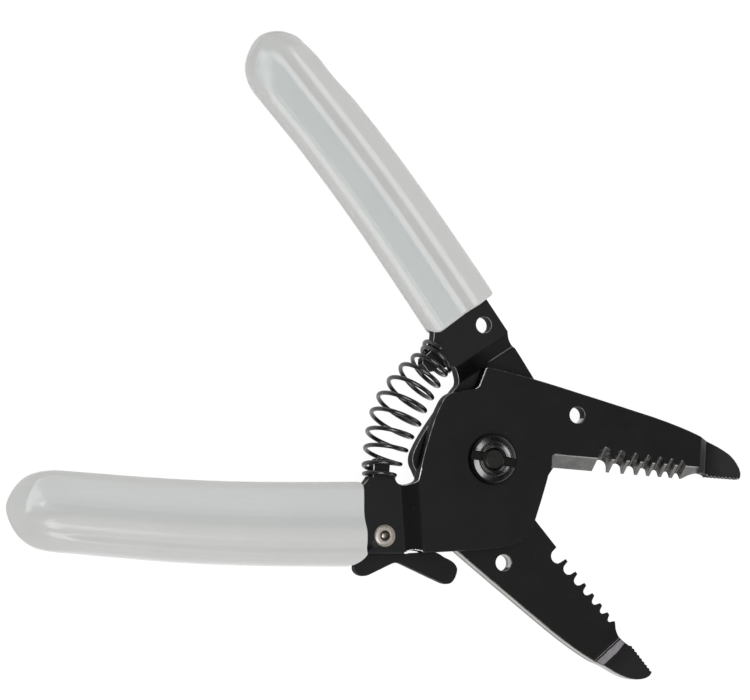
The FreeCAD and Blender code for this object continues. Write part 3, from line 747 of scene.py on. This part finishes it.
# height of the upper and under side across the width, then of their rounded borders by distance from the outline
UPPER = [(0, 2.70), (4.4, 2.70), (6.0, 2.77), (7.3, 3.12), (8.5, 3.92), (9.7, 4.70), (10.6, 4.93), (11.6, 4.98), (12.5, 4.92), (13.2, 4.70),
         (13.6, 4.69), (14.5, 5.09), (15.0, 5.18), (17, 5.18)]
UNDER = [(0, 2.35), (7.85, 2.35), (8.4, 2.397), (8.95, 2.55), (9.45, 2.82), (9.98, 3.31), (10.5, 3.80), (11.0, 4.07), (11.53, 4.22), (12.06, 4.27), (17, 4.27)]
UPPER_IN = [(0, 0.0), (0.03, 1.0), (0.12, 1.60), (0.3, 1.90), (0.6, 2.06), (1.45, 2.53), (1.75, 2.62), (2.4, 2.67), (3.4, 2.74), (4.2, 3.2), (6.0, 6.0)]
UPPER_IN_REAR = [(0, 0.0), (0.03, 0.4), (0.12, 0.8), (0.3, 1.2), (0.6, 1.62), (1.0, 2.0), (1.5, 2.35), (2.0, 2.58), (2.6, 2.70), (3.4, 2.8), (4.2, 3.2), (6.0, 6.0)]
UPPER_OUT = [(0, -1.2), (0.1, 0.2), (0.3, 1.6), (0.6, 2.7), (1.0, 3.7), (1.5, 4.5), (2.1, 5.05), (2.8, 5.5), (4.0, 6.5), (9.0, 11.0)]
UNDER_IN = [(0, 0.0), (0.03, 0.4), (0.1, 0.7), (0.3, 1.15), (0.5, 1.42), (0.75, 1.64), (1.15, 1.89), (1.4, 2.03), (1.7, 2.16), (2.15, 2.29), (2.7, 2.35),
            (3.3, 2.55), (4.0, 3.4), (6.0, 8.0)]
UNDER_OUT = [(0, 1.2), (0.02, 2.87), (0.1, 3.38), (0.3, 3.74), (0.6, 4.02), (1.0, 4.20), (1.5, 4.29), (2.2, 4.6), (3.0, 5.2), (6.0, 8.0)]
# share of the height that is left near the tip, by distance from the outline
# (on the inner side in widths of the rim's band, which ends in a crease)
UPPER_TIP_IN = [(0, -0.22), (0.017, 0.0), (0.056, 0.13), (1.0, 0.84), (1.5, 0.938), (1.75, 0.971), (2.05, 0.992), (2.4, 1.0), (30, 1.0)]
UPPER_TIP_OUT = [(0, -0.22), (0.06, 0.0), (0.2, 0.13), (3.1, 0.80), (3.9, 0.90), (4.9, 0.97), (6.2, 1.0), (30, 1.0)]
# share of the bead and of the ridge that is left, by distance from the tip
RUN_OUT = [(0, 0.0), (1.8, 0.0), (3.0, 0.12), (4.2, 0.36), (5.2, 0.58), (5.8, 0.70), (6.6, 0.80), (7.6, 0.89), (8.8, 0.96), (10.4, 1.0), (200, 1.0)]
RIDGE_OUT = [(0, 0.10), (2.0, 0.16), (3.5, 0.36), (5.0, 0.66), (6.0, 0.83), (7.2, 0.94), (8.6, 1.0), (200, 1.0)]
UNDER_TIP_IN = [(0, -0.24), (0.05, -0.08), (0.15, 0.05), (1.5, 0.49), (1.75, 0.55), (2.6, 0.655), (3.6, 0.755), (5.0, 0.86), (7.0, 0.945), (9.0, 0.985), (11.0, 1.0), (20, 1.0)]
UNDER_TIP_OUT = [(0, -0.14), (0.1, 0.12), (0.5, 0.38), (1.2, 0.64), (2.0, 0.83), (3.0, 0.96), (4.0, 1.0), (20, 1.0)]


def smooth_table(table, x, width):
    # a table read with a short running mean, so that its corners come out round
    tx, ty = np.array(table, float).T
    return sum(np.interp(x + o, tx, ty) for o in np.linspace(-width, width, 9)) / 9.0


def lesser(a, b, k):
    # smaller of two heights, with a soft change from one to the other
    h = np.clip(0.5 + 0.5 * (b - a) / k, 0, 1)
    return b + (a - b) * h - k * h * (1 - h)


def grip(name, tip, mouth_inner, mouth_outer, inner_r, corner, body, node, rear, thinnest, slim):
    squeeze = (tip + 84) / (TIP[0] + 84)
    way = np.array(INNER + [TIP] + OUTER[::-1], float)
    chord = np.concatenate([[0], np.cumsum(np.hypot(*np.diff(way, axis=0).T))])
    edge = cubic(chord, way, np.linspace(0, chord[-1], 2401))
    edge[:, 0] = np.where(edge[:, 0] > -84, edge[:, 0], -84 + (edge[:, 0] + 84) * squeeze)
    cut = int(np.argmin(edge[:, 0]))
    back_in, back_out = cut - np.arange(cut), np.arange(len(edge) - cut)
    ease = lambda f: np.clip(f, 0, 1) ** 2 * (3 - 2 * np.clip(f, 0, 1))
    edge[:cut, 1] -= slim[0] * (np.clip((back_in - 180) / 240.0, 0, 1) + 0.6 * ease(back_in / 90.0) * ease((215 - back_in) / 110.0))
    edge[cut:, 1] += slim[1] * ease(back_out / 130.0) + slim[2] * ease((back_out - 150) / 200.0) * (1 - 0.85 * ease((back_out - 300) / 150.0))
    rail_in, rail_out = edge[:cut + 1][::-1], edge[cut:]
    coarse = edge[::4]
    straight_in = np.array([q for q in INNER if q[0] > -88])[::-1]
    straight_out = np.array([q for q in OUTER if q[0] > -87])[::-1]
    seg_a, seg_d = coarse[:-1], np.diff(coarse, axis=0)
    seg_l = (seg_d ** 2).sum(1)

    def inset_of(x, y):
        # distance from the sleeve's outline
        # and how far the nearest piece of it looks towards the tip
        p = np.stack([x, y], 1)
        out, ahead = np.empty(len(p)), np.empty(len(p))
        for k in range(0, len(p), 400):
            q = p[k:k + 400, None, :] - seg_a[None]
            f = np.clip((q * seg_d[None]).sum(2) / seg_l[None], 0, 1)
            r = np.sqrt(((q - f[:, :, None] * seg_d[None]) ** 2).sum(2))
            near = r.argmin(1)
            out[k:k + 400] = r.min(1)
            ahead[k:k + 400] = np.abs(seg_d[near, 1]) / np.sqrt(seg_l[near])
        return out, ahead

    half_count = 112
    across = 0.5 - 0.5 * np.cos(np.linspace(0, math.pi, half_count + 1))
    share = np.concatenate([across, across[-2:0:-1]])
    top = np.concatenate([np.ones(half_count + 1, bool), np.zeros(half_count - 1, bool)])
    count = len(share)

    def section(x):
        # points of the sleeve at the stations x, one for each point around it
        yi = np.interp(x, rail_in[:, 0], rail_in[:, 1])
        yo = np.interp(x, rail_out[:, 0], rail_out[:, 1])
        y = yi - share * (yi - yo)
        d, ahead = inset_of(x, y)
        d[[0, half_count]] = 0.0
        # across the width the plateau and the ridge run straight on until the tip cuts them off
        xs = np.where(x > -84, x, -84 + (x + 84) / squeeze)
        yi0 = np.interp(xs, straight_in[:, 0], straight_in[:, 1])
        yo0 = np.interp(xs, straight_out[:, 0], straight_out[:, 1])
        v = np.clip(17.0 * (yi0 - y) / (yi0 - yo0), 0, 17)
        s_ = np.clip((v - 6.6) / 5.0, 0, 1)
        s_ = s_ * s_ * (3 - 2 * s_)
        e_ = np.clip((-84.0 - xs) / 10.0, 0, 1)
        e_ = e_ * e_ * (3 - 2 * e_)
        side = lambda a, b: smooth_table(a, d, 0.05) * (1 - s_) + smooth_table(b, d, 0.05) * s_
        # the bead and the ridge run out towards the tip, the bead with a slight turn
        late = np.clip((11.2 - v) / 2.6, 0, 1)
        left = smooth_table(RUN_OUT, xs - TIP[0] - 2.6 * late * late * (3 - 2 * late), 0.35)
        bead = UPPER[0][1] + (smooth_table(UPPER, v + 0.75 * np.clip((11.0 - xs + TIP[0]) / 7.0, 0, 1) ** 2, 0.3) - UPPER[0][1]) * left
        ridge = UNDER[0][1] + (smooth_table(UNDER, v, 0.25) - UNDER[0][1]) * smooth_table(RIDGE_OUT, xs - TIP[0], 0.4)
        # the rounded border is widest at the very tip
        band = 1.0 + 2.2 * ahead ** 2
        d_tip = np.where(d < band, d / band, 1.0 + (d - band) / 3.6)
        d_out = d * 3.6 / (2.8 + 0.8 * ahead)
        tip_up = smooth_table(UPPER_TIP_IN, d_tip, 0.022) * (1 - s_) + smooth_table(UPPER_TIP_OUT, d_out, 0.08) * s_
        w_up = lesser(bead, side(UPPER_IN_REAR if rear else UPPER_IN, UPPER_OUT), 0.14) * (1 - e_) + bead * tip_up * e_
        w_un = -lesser(ridge, side(UNDER_IN, UNDER_OUT), 0.14) * (1 - e_) - ridge * side(UNDER_TIP_IN, UNDER_TIP_OUT) * e_
        rim = -1.2 * s_ * (1 - e_) - 0.6 * e_
        w = np.where(top, np.maximum(w_up, rim), np.minimum(w_un, rim))
        ends = np.minimum(1.0, d / 0.12)
        w = np.where(d < 0.12, rim + (w - rim) * np.sqrt(ends), w)
        flat = np.clip((v - 1.5) / 0.9, 0, 1) * np.clip((9.4 - v) / 1.4, 0, 1) * np.clip((d - 1.4) / 1.2, 0, 1)
        return np.stack([x, y, ZI + w, 1.0 - flat], 1)

    ref = section(np.full(count, -45.0))[:, :3]
    tan = np.roll(ref, -1, 0) - np.roll(ref, 1, 0)
    nrm = np.stack([0 * tan[:, 0], tan[:, 2], -tan[:, 1]], 1)
    nrm /= np.linalg.norm(nrm, axis=1)[:, None]
    if ((ref - ref.mean(0)) * nrm).sum() > 0:
        nrm = -nrm                                    # towards the inside

    def mouth(y, y_in):
        (x0, y0), (x1, y1), (x2, y2) = corner
        d = max(0.0, y_in - y)
        back = inner_r - math.sqrt(max(0.0, inner_r ** 2 - (inner_r - d) ** 2)) if d < inner_r else 0.0
        if y > -6.0:
            return mouth_inner - back
        if y >= y0:
            return mouth_inner + (mouth_outer - mouth_inner) * (-6.0 - y) / (-6.0 - y0) - back
        # circle through the three corner points
        ax, ay, bx, by, cx, cy = x0, y0, x1, y1, x2, y2
        q = 2 * (ax * (by - cy) + bx * (cy - ay) + cx * (ay - by))
        ux = ((ax * ax + ay * ay) * (by - cy) + (bx * bx + by * by) * (cy - ay) + (cx * cx + cy * cy) * (ay - by)) / q
        uy = ((ax * ax + ay * ay) * (cx - bx) + (bx * bx + by * by) * (ax - cx) + (cx * cx + cy * cy) * (bx - ax)) / q
        rad = math.hypot(ax - ux, ay - uy)
        return ux + math.sqrt(max(0.0, rad * rad - (y - uy) ** 2))

    start = np.empty(count)
    for j in range(count):
        x = mouth_inner
        for _ in range(3):
            yi, yo = np.interp(x, rail_in[:, 0], rail_in[:, 1]), np.interp(x, rail_out[:, 0], rail_out[:, 1])
            x = mouth(yi - share[j] * (yi - yo), yi)
        start[j] = x

    lip = 0.45
    rings = []
    # face of the mouth, from the tang outwards, then the rounded lip
    y_hi, y_lo, z_lo, z_hi = -7.7, -21.2, 4.36, 7.24
    rim = section(start)[:, :3] + nrm * lip
    hole = rim.copy()
    hole[:, 1] = np.clip(rim[:, 1], y_lo, y_hi)
    hole[:, 2] = np.clip(rim[:, 2], z_lo, z_hi)
    deep = hole.copy()
    deep[:, 0] -= 2.5
    core = hole.copy()
    core[:, 0] -= 0.25
    rings += [deep, core]
    for q in (0.35, 0.7):
        g = core * (1 - q) + rim * q
        g[:, 0] = core[:, 0] * (1 - q) + (rim[:, 0]) * q + 0.05 * math.sin(math.pi * q)
        rings.append(g)
    for a in np.linspace(0, 90, 6):
        c_, s_ = math.cos(math.radians(a)), math.sin(math.radians(a))
        g = section(start - lip)[:, :3] + nrm * lip * (1 - s_)
        g[:, 0] = start - lip + lip * c_
        rings.append(g)
    # body of the sleeve: even steps that shrink towards the tip
    end_x = edge[cut, 0]
    bend = np.linspace(0, math.pi / 2, 60)[1:]
    for q in np.concatenate([np.linspace(0.004, 0.80, 64), 0.80 + 0.1999 * np.sin(bend)]):
        rings.append(section((start - lip) * (1 - q) + end_x * q))

    bm = bmesh.new()
    thick = bm.verts.layers.float.new("thick")
    grid = []
    for g in rings:
        row = []
        for p in g:
            vert = bm.verts.new((to_rear(p) if rear else Vector(p[:3])) * MM)
            vert[thick] = 1.0 if len(p) == 3 else max(float(p[3]), thinnest)
            row.append(vert)
        grid.append(row)
    for a, b in zip(grid[:-1], grid[1:]):
        for j in range(count):
            k = (j + 1) % count
            bm.faces.new((a[j], a[k], b[k], b[j]))
    bm.faces.new(grid[0])
    bm.faces.new(grid[-1])
    bmesh.ops.remove_doubles(bm, verts=bm.verts, dist=1.5e-6)
    ob = finish_mesh(bm, name, [M_VINYL], 60.0, False)
    return place(ob, body, node, "grip_vinyl")


grip("lower_grip_sleeve", TIP[0], -27.05, -26.25, 1.0, [(-26.25, -21.4), (-27.2, -23.2), (-29.4, -24.6)], "front", "lower_grip", False, 0.45, (0.06, -0.16, 0.0))
grip("upper_grip_sleeve", -96.7, -26.8, -25.6, 2.0, [(-25.6, -22.6), (-25.85, -23.2), (-26.5, -23.6)], "rear", "upper_grip", True, 0.0, (0.5, 0.95, 0.70))


# ---------------------------------------------------------------------------
# turned and headed pieces
# ---------------------------------------------------------------------------
def lathe(profile, centre_xy, steps=128):
    # closed ring of a (radius, z) profile; a radius of 0 closes it on the axis
    bm = bmesh.new()
    rings = []
    for r, z in profile:
        if r <= 1e-6:
            rings.append([bm.verts.new(Vector((centre_xy[0], centre_xy[1], z)) * MM)])
        else:
            rings.append([bm.verts.new(Vector((centre_xy[0] + r * math.cos(2 * math.pi * i / steps),
                                               centre_xy[1] + r * math.sin(2 * math.pi * i / steps), z)) * MM)
                          for i in range(steps)])
    pairs = list(zip(rings[:-1], rings[1:]))
    if len(rings[0]) > 1 and len(rings[-1]) > 1:
        pairs.append((rings[-1], rings[0]))
    for a, b in pairs:
        for i in range(steps):
            k = (i + 1) % steps
            if len(a) == 1 and len(b) == 1:
                continue
            if len(a) == 1:
                bm.faces.new((a[0], b[k], b[i]))
            elif len(b) == 1:
                bm.faces.new((a[i], a[k], b[0]))
            else:
                bm.faces.new((a[i], a[k], b[k], b[i]))
    return bm


def fillet(pts, radii, steps=4):
    # rounds the corners of an open profile
    out = [pts[0]]
    for i in range(1, len(pts) - 1):
        r = radii.get(i, 0.0)
        p, a, b = Vector(pts[i]), Vector(pts[i - 1]), Vector(pts[i + 1])
        if r <= 0:
            out.append(tuple(p))
            continue
        da, db = (a - p).normalized(), (b - p).normalized()
        half = math.acos(max(-1, min(1, da.dot(db)))) / 2
        cut = min(r / math.tan(half), (a - p).length * 0.49, (b - p).length * 0.49)
        rr = cut * math.tan(half)
        c = p + (da + db).normalized() * (rr / math.sin(half))
        s0, s1 = p + da * cut, p + db * cut
        a0 = math.atan2(s0.y - c.y, s0.x - c.x)
        a1 = math.atan2(s1.y - c.y, s1.x - c.x)
        turn = (a1 - a0 + math.pi) % (2 * math.pi) - math.pi
        for q in range(steps + 1):
            w = a0 + turn * q / steps
            out.append((c.x + rr * math.cos(w), c.y + rr * math.sin(w)))
    out.append(pts[-1])
    return out


# pivot bolt: flat round head below, shank, threaded end with a chamfer
bolt_profile = fillet([(0, 0.12), (1.1, 0.12), (1.25, 0.0), (4.75, 0.0), (4.75, 2.0), (3.0, 2.0), (3.0, 8.8), (2.15, 8.8),
                       (2.15, 9.9)], {3: 0.6, 4: 0.12})
for z in (9.95, 10.13, 10.31):
    bolt_profile += [(2.15, z), (1.98, z + 0.09), (2.15, z + 0.18)]
bolt_profile += fillet([(2.13, 10.50), (1.82, 10.70), (0.0, 10.70)], {1: 0.08})[1:]
ob = finish_mesh(lathe(bolt_profile, (0, 0)), "pivot_bolt_turned", [M_STUD], 40.0)
place(ob, "front", "pivot_bolt", "pivot_steel")

# washer under the bolt's head
ob = finish_mesh(lathe(fillet([(3.02, 2.1), (3.02, 2.02), (4.5, 2.02), (4.5, 2.7), (3.02, 2.7), (3.02, 2.1)], {2: 0.15, 3: 0.2})[:-1], (0, 0)),
                 "pivot_washer_turned", [M_WASHER], 40.0)
place(ob, "front", "pivot_rear_washer", "pivot_steel")

# slotted round nut: skirt, domed shoulder, groove, raised collar, countersunk mouth
nut_profile = fillet([(2.15, 9.4), (2.15, 8.8), (5.15, 8.8), (5.15, 10.12), (4.66, 10.64), (3.63, 11.02), (3.57, 10.92),
                      (3.49, 10.92), (3.43, 11.12), (3.33, 11.19), (3.22, 11.17), (2.80, 11.00), (2.76, 10.86), (2.64, 10.84),
                      (2.44, 10.66), (2.15, 10.40), (2.15, 9.4)],
                     {3: 0.35, 4: 0.30, 5: 0.05, 8: 0.06, 9: 0.06, 10: 0.06, 11: 0.05, 13: 0.08})[:-1]
bm = lathe(nut_profile, (0, 0), 160)
bmesh.ops.recalc_face_normals(bm, faces=bm.faces)
nut_mesh = bpy.data.meshes.new("nut_blank")
bm.to_mesh(nut_mesh)
bm.free()
nut_blank = bpy.data.objects.new("nut_blank", nut_mesh)
collection.objects.link(nut_blank)
bm = bmesh.new()
bmesh.ops.create_cube(bm, size=1.0)
bmesh.ops.scale(bm, verts=bm.verts, vec=(0.020, 0.0019, 0.003))
bmesh.ops.translate(bm, verts=bm.verts, vec=(0, 0, (10.25 + 1.5) * MM))
bmesh.ops.rotate(bm, verts=bm.verts, cent=(0, 0, 0), matrix=Matrix.Rotation(math.radians(-6.5), 3, "Z"))
cut_mesh = bpy.data.meshes.new("slot_cutter")
bm.to_mesh(cut_mesh)
bm.free()
cutter = bpy.data.objects.new("slot_cutter", cut_mesh)
collection.objects.link(cutter)
mod = nut_blank.modifiers.new("slot", "BOOLEAN")
mod.operation = "DIFFERENCE"
mod.solver = "EXACT"
mod.object = cutter
bpy.context.view_layer.update()
slotted = bpy.data.meshes.new_from_object(nut_blank.evaluated_get(bpy.context.evaluated_depsgraph_get()))
bm = bmesh.new()
bm.from_mesh(slotted)
bpy.data.objects.remove(nut_blank)
bpy.data.objects.remove(cutter)
bmesh.ops.remove_doubles(bm, verts=bm.verts, dist=2e-6)
bm.normal_update()
slot_dir = Vector((math.cos(math.radians(-6.5)), math.sin(math.radians(-6.5)), 0))
slot_side = Vector((-slot_dir.y, slot_dir.x, 0))
rims = []
for e in bm.edges:
    if len(e.link_faces) == 2 and e.calc_face_angle(0.0) > math.radians(35):
        side = [abs(abs(f.normal.dot(slot_side)) - 1) < 1e-3 for f in e.link_faces]
        if any(side) and not all(side):
            rims.append(e)
bmesh.ops.bevel(bm, geom=rims, offset=0.07 * MM, offset_type="OFFSET", segments=2, profile=0.5, affect="EDGES", clamp_overlap=True)
bm.normal_update()
for f in bm.faces:
    c = f.calc_center_median() / MM
    # the slot's walls and floor take the painted-shade copy
    if abs(c.dot(slot_side)) < 1.0 and 2.2 < c.xy.length < 5.1 and (abs(f.normal.dot(slot_side)) > 0.9 or c.z < 10.3) and c.z > 10.0:
        f.material_index = 2
    # the side wall takes the painted-shade copy
    elif c.xy.length > 4.72:
        f.material_index = 1
place(finish_mesh(bm, "pivot_nut_turned", [M_NUT, M_SKIRT_SHADE, M_SLOT_SHADE], 34.0), "front", "pivot_nut", "pivot_steel")

# tubular rivet: rolled front head with a dimpled hollow, clinched back head
rx, ry = -21.7, -17.2
rivet_profile = fillet([(0.0, 7.18), (0.50, 7.05), (0.88, 6.75), (0.98, 7.70), (1.16, 7.88), (1.80, 7.86), (2.25, 7.66), (2.25, 7.30), (1.69, 7.30),
                        (1.69, 2.30), (2.25, 2.30), (2.25, 1.95), (1.80, 1.70), (1.25, 1.72), (0.98, 2.0), (0.90, 2.9), (0.0, 3.2)],
                       {1: 0.5, 2: 0.08, 3: 0.1, 4: 0.12, 5: 0.5, 6: 0.2, 11: 0.3, 12: 0.4, 13: 0.3, 14: 0.2})
bm = lathe(rivet_profile, (rx, ry), 72)
for f in bm.faces:
    c = f.calc_center_median() / MM
    f.material_index = 1 if 0.52 < math.hypot(c.x - rx, c.y - ry) < 1.03 else 0
place(finish_mesh(bm, "lock_rivet_headed", [M_NICKEL, M_HOLLOW], 40.0), "front", "lock_rivet", "rivet_nickel")

ob = finish_mesh(lathe(fillet([(1.70, 2.5), (1.70, 2.3), (3.0, 2.3), (3.0, 2.8), (1.70, 2.8), (1.70, 2.5)], {2: 0.15, 3: 0.15})[:-1], (rx, ry), 72),
                 "lock_washer_ring", [M_NICKEL], 40.0)
place(ob, "front", "lock_spring_washer", "rivet_nickel")


# ---------------------------------------------------------------------------
# return spring: barrel coil that bows from post to post
# ---------------------------------------------------------------------------
LEFT = [(-26.20, -4.80), (-26.38, -2.82), (-26.22, 0.75), (-25.91, 4.27), (-25.19, 8.30), (-23.86, 11.72),
        (-21.77, 15.09), (-19.34, 18.01), (-16.88, 20.11), (-14.95, 22.00), (-14.65, 23.12), (-14.0, 24.3)]
RIGHT = [(-19.85, -5.0), (-19.85, -4.72), (-18.81, -2.33), (-17.78, 0.53), (-16.69, 3.30), (-15.34, 5.99), (-14.28, 8.86),
         (-12.89, 11.61), (-11.60, 14.23), (-10.19, 16.60), (-9.55, 17.42), (-8.70, 18.60)]
turns = 21.4
t = np.linspace(0, turns, 481)
lt, rt = np.arange(len(LEFT)) * 2.0 + 1.0, np.arange(len(RIGHT)) * 2.0
lp = cubic(lt, np.array(LEFT), np.clip(t, lt[0], lt[-1]))
rp = cubic(rt, np.array(RIGHT), np.clip(t, rt[0], rt[-1]))
mid, rad = (lp + rp) / 2, (rp - lp) / 2
line = np.concatenate([mid + rad * np.cos(math.pi * t)[:, None],
                       (ZI - np.linalg.norm(rad, axis=1) * np.sin(math.pi * t))[:, None]], 1)
around = 14
bm = bmesh.new()
rings, weights = [], []
tangent = np.gradient(line, axis=0)
tangent /= np.linalg.norm(tangent, axis=1)[:, None]
axis = np.gradient(mid, axis=0)
axis = np.concatenate([axis / np.linalg.norm(axis, axis=1)[:, None], np.zeros((len(axis), 1))], 1)


def ring_at(i, scale, shift):
    c = line[i] + tangent[i] * shift
    e1 = axis[i] - tangent[i] * axis[i].dot(tangent[i])
    e1 /= np.linalg.norm(e1)
    e2 = np.cross(tangent[i], e1)
    return [bm.verts.new(Vector(c + 0.45 * scale * (e1 * math.cos(2 * math.pi * j / around) + e2 * math.sin(2 * math.pi * j / around))) * MM)
            for j in range(around)]


last = len(line) - 1
for i, scale, shift in [(0, 0.72, -0.10), (0, 0.93, -0.06)] + [(i, 1.0, 0.0) for i in range(len(line))] + [(last, 0.93, 0.06), (last, 0.72, 0.10)]:
    rings.append(ring_at(i, scale, shift))
    weights += [t[i] / turns] * around
for a, b in zip(rings[:-1], rings[1:]):
    for j in range(around):
        k = (j + 1) % around
        bm.faces.new((a[j], b[j], b[k], a[k]))
bm.faces.new(rings[0])
bm.faces.new(rings[-1])
spring = finish_mesh(bm, "return_spring_coil", [M_WIRE], 60.0, False)
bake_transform(spring)
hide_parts("return_spring")
